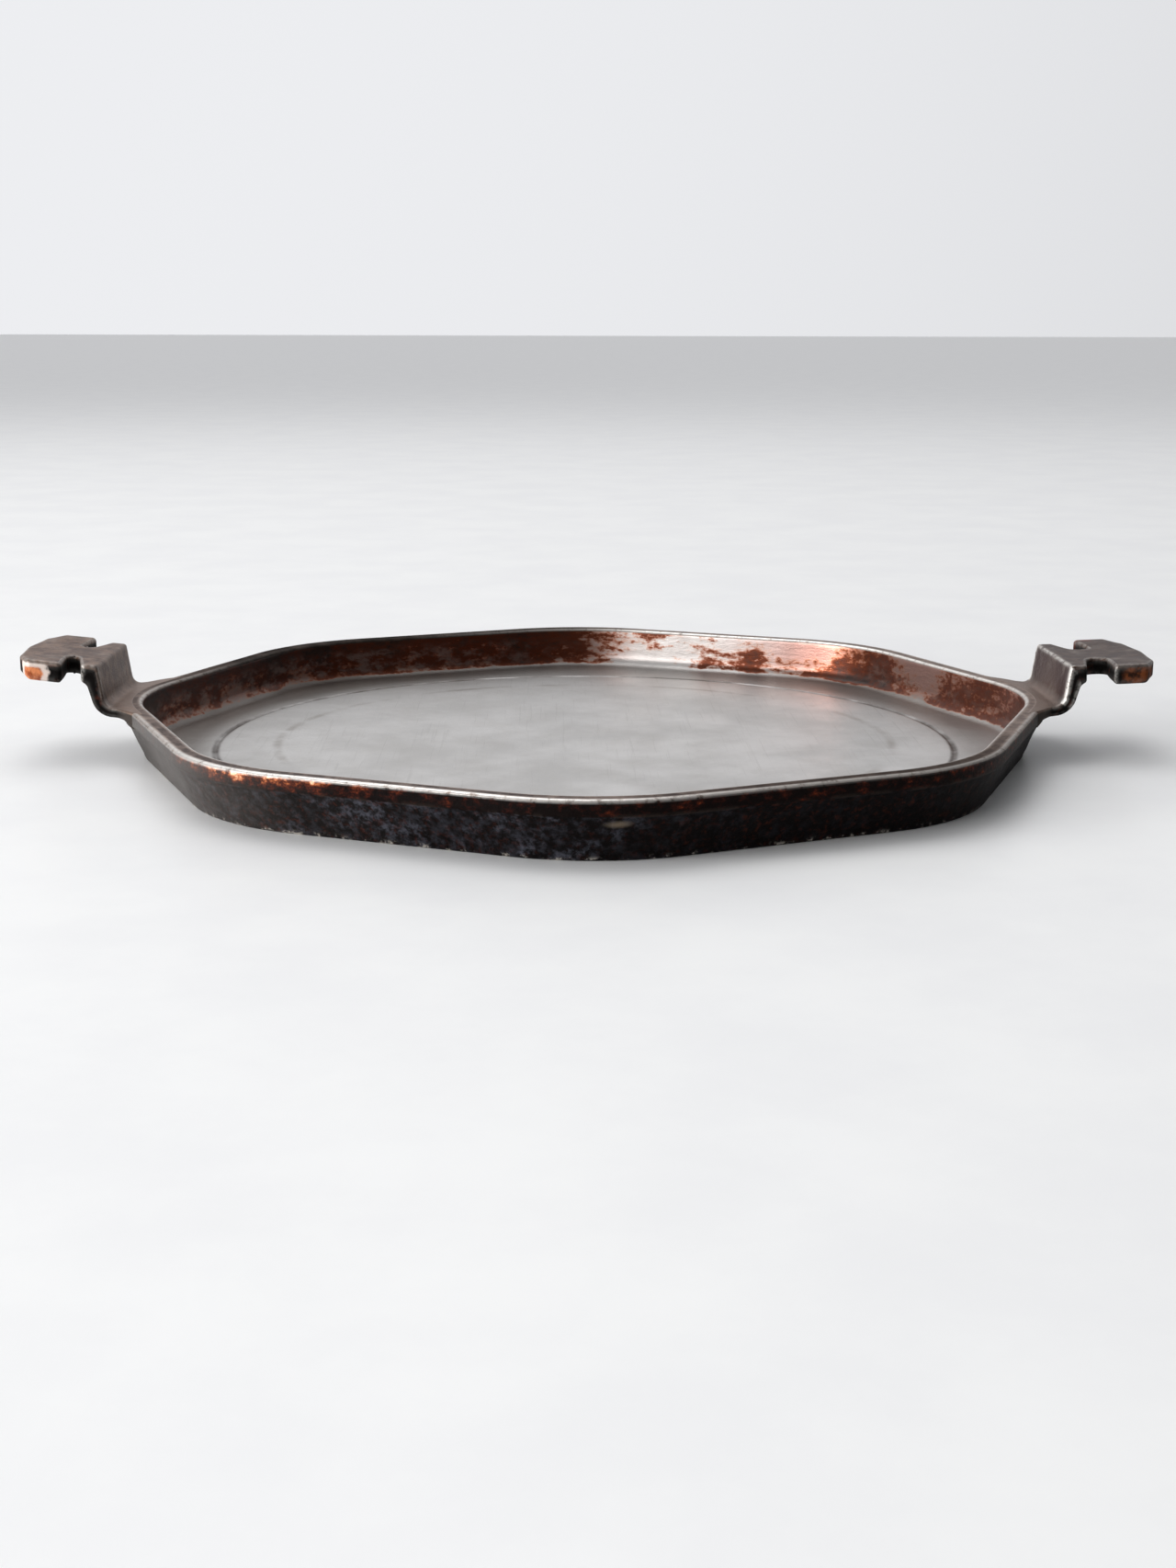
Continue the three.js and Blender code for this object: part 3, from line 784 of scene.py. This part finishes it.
# %% Crust of the outside
outside, add, place, (x, y, z) = new_finish("baked_black_on_cast_aluminium")
bare, grey_specks_and_glints, rust_specks = by_angle(add, x, y, [
    # degrees: bare metal, blue-grey specks with painted glints of the hammer marks, rust specks
    (-180, 0.3, 0.2, 0.1), (-169, 0.6, 0.2, 0.1), (-158, 0.9, 0.2, 0.1), (-146, 0.75, 0.4, 0.3),
    (-136, 0.4, 0.7, 0.7), (-124, 0.06, 0.85, 0.6), (-108, 0.0, 0.9, 0.4), (-94, 0.0, 0.95, 0.2),
    (-84, 0.0, 0.35, 0.3), (-70, 0.0, 0.1, 0.55), (-45, 0.0, 0.1, 0.5),
    (-25, 0.0, 0.15, 0.2), (0, 0.1, 0.3, 0.2),
    (40, 0.1, 0.5, 0.4), (90, 0.0, 0.8, 0.6), (140, 0.1, 0.6, 0.6), (180, 0.3, 0.2, 0.1)])
foot_edge = add("Attribute", attribute_name="foot_edge", out="Fac")
step_edge = add("Attribute", attribute_name="step_edge", out="Fac")
clusters = patches(add, place, 13.0, 0.40, 0.62, detail=4.0)
grains = patches(add, place, 2.8, 0.42, 0.68, detail=7.0, grain=0.72)
# Grey specks: partly crust colour, partly painted highlights on the hammer marks.
grey_and_glint_amount = add("Math.MULTIPLY", add("Math.MULTIPLY", grains, grey_specks_and_glints),
                  add("MapRange.LINEAR", clusters, 0.0, 1.0, 0.3, 1.0))
crust = add("Mix.RGBA", grey_and_glint_amount, "#0b0808", "#4f5059")
elsewhere = add("VectorMath.ADD", place, (31.0, 17.0, 5.0))
rusty = patches(add, elsewhere, 1.9, 0.50, 0.70, detail=6.0, grain=0.7)
rust_amount = add("Math.MULTIPLY", add("Math.MULTIPLY", rusty, rust_specks), 0.75)
crust = add("Mix.RGBA", rust_amount, crust, "#56281a")
bare_amount = add("Math.MULTIPLY", bare, add("MapRange.LINEAR", grains, 0.0, 1.0, 0.7, 1.0))
crust = add("Mix.RGBA", bare_amount, crust, "#6f6965")

# %% Band under the rim
band_bare, copper, flakes = by_angle(add, x, y, [
    # degrees: bare metal, copper patches, rusty flakes
    (-180, 0.55, 0.0, 0.1), (-150, 0.45, 0.0, 0.3), (-139, 0.3, 0.35, 0.6), (-134, 0.15, 0.9, 0.8),
    (-126, 0.05, 0.8, 0.8), (-118, 0.0, 0.38, 0.75), (-108, 0.0, 0.05, 0.3), (-90, 0.0, 0.0, 0.1),
    (-45, 0.0, 0.0, 0.7), (-25, 0.2, 0.0, 0.3), (0, 0.12, 0.0, 0.2), (60, 0.1, 0.1, 0.6),
    (120, 0.0, 0.3, 0.7), (160, 0.2, 0.1, 0.4), (180, 0.55, 0.0, 0.1)])
flattened = add("Mapping", place, Scale=(1.0, 1.0, 1.5))
lumps = add("TexNoise", flattened, Scale=1 / 4.2, Detail=8.0, Roughness=0.72)
up_band = add("MapRange.LINEAR", z, band_bottom, RIM_TOP - 0.5, -0.11, 0.13)
rust_level = add("Math.MULTIPLY_ADD", copper, 0.12, lumps)
rust_level = add("Math.MULTIPLY_ADD", flakes, 0.05, rust_level)
rust_level = add("Math.MULTIPLY_ADD", up_band, add("Math.ADD", copper, 0.3), rust_level)
band_colour = add("ValToRGB", rust_level, stops=[
    (0.50, "#0e0706"), (0.60, "#2c110b"), (0.68, "#582412"), (0.76, "#ad623a"), (0.86, "#e6c09c")])
band_colour = add("Mix.RGBA", add("Math.MULTIPLY", band_bare, 0.9), band_colour, "#8f8a86")
on_band = add("MapRange.SMOOTHSTEP", z, band_bottom - 0.3, band_bottom + 0.3)
outer_colour = add("Mix.RGBA", on_band, crust, band_colour)
# A painted highlight along the band's lower step, lighter than the crust.
step_highlight = add("Math.MULTIPLY", step_edge, patches(add, place, 9.0, 0.46, 0.58, detail=8.0))
outer_colour = add("Mix.RGBA", add("Math.MULTIPLY", step_highlight, 0.5), outer_colour, "#62554c")
chips = add("Math.MULTIPLY", foot_edge, patches(add, place, 3.0, 0.54, 0.60, detail=8.0, grain=0.75))
outer_colour = add("Mix.RGBA", chips, outer_colour, "#d2cabf")
knock = spot(add, add("Mapping", place, Scale=(0.3, 1.0, 1.0)), (1.8, -157.5, 11.5), 0.1, 1.7)
outer_colour = add("Mix.RGBA", add("Math.MULTIPLY", knock, 0.5), outer_colour, "#8f7f6c")

# %% Worn edge of the outside, with a painted highlight
wear_and_highlight = add("Attribute", attribute_name="wear_and_highlight", out="Fac")
# The rim's outer edge is painted near white: bare metal worn through the crust, and a painted highlight
# strongest towards the front-left.
_, wear_and_highlight_amount, _ = by_angle(add, x, y, [
    (-180, 0, 0.6, 0), (-135, 0, 1.0, 0), (-88, 0, 0.7, 0), (-70, 0, 0.25, 0), (-45, 0, 0.1, 0),
    (0, 0, 0.4, 0), (60, 0, 0.8, 0), (92, 0, 0.2, 0), (140, 0, 0.05, 0), (180, 0, 0.6, 0)])
worn_and_highlit = add("Math.MULTIPLY", add("Math.MULTIPLY", wear_and_highlight, wear_and_highlight_amount),
           patches(add, place, 2.2, 0.26, 0.52, detail=7.0))
outer_colour = add("Mix.RGBA", worn_and_highlit, outer_colour, "#e0ddd8")
outer_metal = add("Math.MAXIMUM", add("Math.MULTIPLY", bare, 0.8), worn_and_highlit)
flaked = add("MapRange.SMOOTHSTEP", add("Math.MULTIPLY", rust_level, on_band), 0.66, 0.8)
outer_metal = add("Math.MAXIMUM", outer_metal, flaked)
outer_rough = add("MapRange.LINEAR", bare, 0.0, 1.0, 0.55, 0.42)
pits = patches(add, place, 1.1, 0.3, 0.7, detail=5.0)
close_finish(add, outer_colour, outer_metal, outer_rough, [(grains, 0.10), (lumps, 0.12), (pits, 0.05)], 0.05)

# %% Giving the pan its three finishes
INSIDE, RIM, OUTSIDE = 0, 1, 2
for material in (inside, rim, outside):
    pan.data.materials.append(material)
wall_inset, wall_z = wall[:, 0], wall[:, 1]
top_row = len(under_radii) + int(np.argmax(wall_z > RIM_TOP - 0.75))
past_top = np.arange(len(wall)) > top_row - len(under_radii)
inner_row = len(under_radii) + int(np.argmax(past_top & (wall_inset > RIM_LAND) & (wall_z < RIM_TOP - 0.75)))
rows = np.arange(ring_count - 1)
row_finish = np.where(rows < top_row, OUTSIDE, np.where(rows < inner_row, RIM, INSIDE))
face_finish = np.concatenate(
    [np.repeat(row_finish, AROUND), np.full(AROUND, OUTSIDE), np.full(AROUND, INSIDE)])
pan.data.polygons.foreach_set("material_index", face_finish.astype(np.int32))
print("faces inside, on the rim, outside:", np.bincount(face_finish))

# %% [markdown]
# ## The handles' finish
#
# The handles are the same aluminium, darkened by heat and hands: taupe on top, black under the plate and
# on the sides that nobody rubs, and bright along the top edges, from wear and a painted highlight.

# %% Handle finish
handle_finish, add, place, (x, y, z) = new_finish("heat_darkened_cast_aluminium")
wear_and_highlight = add("Attribute", attribute_name="wear_and_highlight", out="Fac")
under = add("Attribute", attribute_name="under", out="Fac")
mottle = patches(add, place, 5.5, 0.36, 0.66, detail=8.0, grain=0.68)
top_colour = add("Mix.RGBA", mottle, "#48362f", "#786153")
right_hand = add("MapRange.LINEAR", x, -100.0, 100.0)
top_colour = add("Mix.RGBA", add("Math.MULTIPLY", right_hand, 0.6), top_colour, "#2b1e1c")
on_riser = add("Math.MULTIPLY", add("MapRange.SMOOTHSTEP", z, RIM_TOP + 1, RIM_TOP + 4),
               add("MapRange.SMOOTHSTEP", z, 33.0, 30.5))
riser_tint = add("MapRange.LINEAR", right_hand, 0.0, 1.0, 0.0, 0.9)
top_colour = add("Mix.RGBA", add("Math.MULTIPLY", on_riser, riser_tint), top_colour, "#3b2220")
rubbed = patches(add, add("VectorMath.ADD", place, (7.0, 3.0, 11.0)), 7.0, 0.5, 0.72, detail=6.0)
top_colour = add("Mix.RGBA", add("Math.MULTIPLY", rubbed, 0.4), top_colour, "#8b8179")
root = add("Attribute", attribute_name="root", out="Fac")
top_colour = add("Mix.RGBA", add("Math.MULTIPLY", root, 0.8), top_colour, "#7a685e")
black = add("Mix.RGBA", patches(add, place, 3.0, 0.52, 0.7, detail=6.0), "#090605", "#3b1d14")
black = add("Mix.RGBA", add("MapRange.SMOOTHSTEP", root, 0.35, 0.95), black, "#3f3935")
colour = add("Mix.RGBA", add("MapRange.SMOOTHSTEP", under, 0.12, 0.24), top_colour, black)

# %% Coloured spots and a painted highlight on the grips
side_only = add("MapRange.SMOOTHSTEP", under, 0.1, 0.2)
# A pale patch high on the front of the left grip: a painted highlight.
grip_highlight = add("Math.MULTIPLY", spot(add, place, (-186.5, -28.0, 32.5), 6.5, 8.0), side_only)
colour = add("Mix.RGBA", grip_highlight, colour, "#decfc6")
copper_patch = add("Mix.RGBA", patches(add, place, 3.0, 0.4, 0.62, detail=6.0), "#d98c5e", "#94492a")
copper_amount = add("Math.MULTIPLY", spot(add, place, (-186.0, -28.0, 30.6), 3.6, 5.0), side_only)
copper_amount = add("Math.MULTIPLY", copper_amount, add("MapRange.SMOOTHSTEP", z, 33.7, 32.9))
colour = add("Mix.RGBA", copper_amount, colour, copper_patch)
scorch = spot(add, add("Mapping", place, Scale=(0.35, 1.0, 1.0)), (-183.5 * 0.35, 28.5, 34.0), 1.5, 3.5)
colour = add("Mix.RGBA", scorch, colour, "#120a07")
reddened = spot(add, place, (181.0, 27.0, 33.5), 1.5, 5.0)
colour = add("Mix.RGBA", add("Math.MULTIPLY", reddened, 0.6), colour, "#7a3626")
brown_amount = add("Math.MULTIPLY", spot(add, place, (188.0, -26.0, 30.5), 5.0, 9.0), side_only)
brown_patch = add("Mix.RGBA", patches(add, place, 3.0, 0.4, 0.62, detail=6.0), "#64351b", "#25140c")
colour = add("Mix.RGBA", brown_amount, colour, brown_patch)
# Edges painted near white: bare metal where worn, and a painted highlight.
worn_and_highlit = add("Math.MULTIPLY", wear_and_highlight, patches(add, place, 2.6, 0.34, 0.56, detail=7.0, grain=0.7))
colour = add("Mix.RGBA", worn_and_highlit, colour, "#ddd9d3")
metal_amount = add("MapRange.LINEAR", under, 0.1, 0.3, 0.85, 0.0)
metal_amount = add("Mix.FLOAT", add("Math.MAXIMUM", worn_and_highlit, grip_highlight), metal_amount, 0.45)
side_rough = add("MapRange.LINEAR", under, 0.1, 0.3, 0.48, 0.75)
close_finish(add, colour, metal_amount, add("MapRange.LINEAR", worn_and_highlit, 0.0, 1.0, side_rough, 0.32), [
    (mottle, 0.06), (patches(add, place, 1.5, 0.3, 0.7, detail=6.0), 0.05)], 0.08)
for made in handles:
    made.data.materials.append(handle_finish)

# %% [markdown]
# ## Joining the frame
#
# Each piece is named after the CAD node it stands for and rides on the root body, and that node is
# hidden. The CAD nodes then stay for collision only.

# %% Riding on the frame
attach(pan, "root")
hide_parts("pan")
for made, handle in zip(handles, HANDLES):
    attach(made, "root")
    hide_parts(handle["node"])

# %% [markdown]
# ## Table, light and camera
#
# A pale table and one big soft window low on the left, with a bright wall behind and a dimmer room in
# front, show both the satin floor and the black wall. The camera looks from a little above the rim, which
# is how a tray on a table is seen.

# %% Table
TABLE_HALF = 40000.0
table_corners = np.array([[-1, -1, 0], [1, -1, 0], [1, 1, 0], [-1, 1, 0]]) * TABLE_HALF - [0, 0, 0.02]
table = write_mesh("table", table_corners, [[0, 1, 2, 3]], {})
table_finish, add, place, _ = new_finish("pale_lacquered_table")
table_colour = add("Mix.RGBA", patches(add, place, 60.0, 0.3, 0.7), "#ededed", "#f2f2f1")
close_finish(add, table_colour, 0.0, 0.4, [], 0.35)
table.data.materials.append(table_finish)

# %% Room
world = bpy.data.worlds.new("soft_room")
bpy.context.scene.world = world
world.use_nodes = True
room = partial(add_node, world.node_tree)
direction = room("VectorMath.NORMALIZE", room("TexCoord", out="Generated"))
to_back = room("VectorMath.DOT_PRODUCT", direction, (-0.6, 0.75, 0.3), out="Value")
glow = room("MapRange.SMOOTHSTEP", to_back, -0.7, 0.95, 0.12, 0.94)
background = world.node_tree.nodes["Background"]
background.inputs["Color"].default_value = linear("#f4f5f8")
world.node_tree.links.new(glow, background.inputs["Strength"])


# %% Windows
def soft_light(name, place, target, size, power):
    """A rectangular area light at a place, aimed at a target, both in metres. size is width and
    height."""
    lamp = bpy.data.lights.new(name, "AREA")
    lamp.shape = "RECTANGLE"
    lamp.size, lamp.size_y = size
    lamp.energy = power
    made = bpy.data.objects.new(name, lamp)
    made.location = place
    made.rotation_euler = (Vector(target) - Vector(place)).to_track_quat("-Z", "Y").to_euler()
    bpy.context.scene.collection.objects.link(made)
    return made


soft_light("window", (-1.65, -1.1, 0.62), (0, 0, 0.05), (2.0, 1.15), 30)
soft_light("lamp", (-1.6, -0.5, 0.32), (0, 0, 0.01), (0.35, 0.45), 9)
soft_light("ceiling", (-0.5, 1.0, 2.2), (0, 0, 0), (1.8, 1.8), 20)

# %% Camera
CAMERA_PLACE = Vector((-13.5, -676.4, 143.3)) * MM
CAMERA_TARGET = Vector((1.06, 0.0, -13.5)) * MM
CAMERA_ROLL = math.radians(0.15)
LENS = 45.12
SENSOR = 36.0
camera_data = bpy.data.cameras.new("camera")
camera_data.sensor_width = SENSOR
camera_data.lens = LENS
camera = bpy.data.objects.new("camera", camera_data)
camera.location = CAMERA_PLACE
aim = (CAMERA_TARGET - CAMERA_PLACE).to_track_quat("-Z", "Y")
camera.rotation_euler = (aim @ Quaternion((0, 0, 1), CAMERA_ROLL)).to_euler()
bpy.context.scene.collection.objects.link(camera)
bpy.context.scene.camera = camera
bpy.context.scene.view_settings.view_transform = "Standard"
